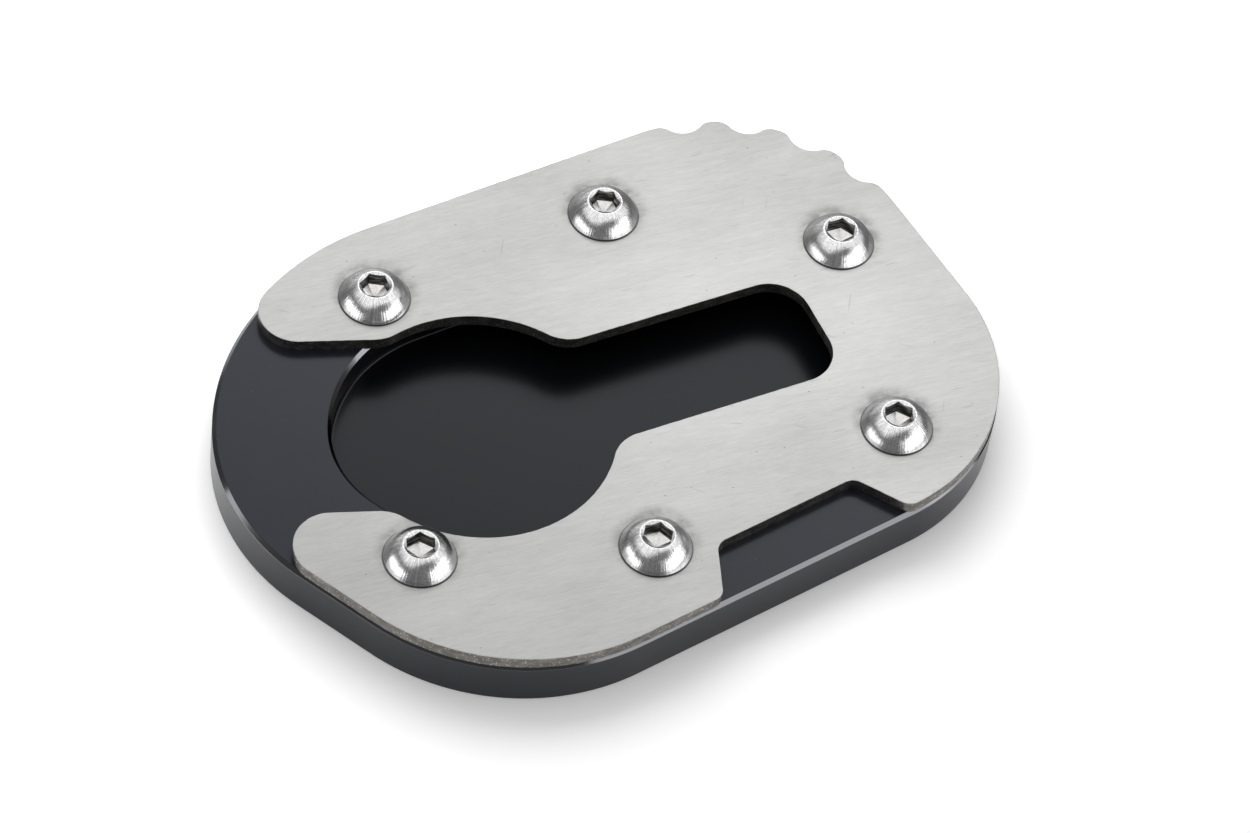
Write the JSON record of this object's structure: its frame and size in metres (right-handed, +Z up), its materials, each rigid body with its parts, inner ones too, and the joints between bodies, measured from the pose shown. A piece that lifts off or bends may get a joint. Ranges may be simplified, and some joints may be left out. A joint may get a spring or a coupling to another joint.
{
  "type": "kickstand foot enlarger",
  "caption": "Wide sole for a motorcycle side stand: a milled plate with a foot pocket under a keyhole cover held by button head screws.",
  "frame": {"origin": "on the underside, on the axis of the keyhole's round part", "axes": "+X along the keyhole's slot, away from the round part; +Z up, out of the cover; +Y towards the scalloped corner's side"},
  "size_m": [0.1175, 0.0859, 0.0126],
  "materials": {
    "black_anodised": "milled and anodised black, satin",
    "brushed_stainless": "brushed along the slot",
    "polished_stainless": "polished stainless steel"
  },
  "bodies": {
    "root": {"base_plate": "black_anodised", "cover_plate": "brushed_stainless", "screw_back_left": "polished_stainless", "screw_back_middle": "polished_stainless", "screw_right_back": "polished_stainless", "screw_right_front": "polished_stainless", "screw_front_middle": "polished_stainless", "screw_front_left": "polished_stainless"}
  },
  "joints": []
}
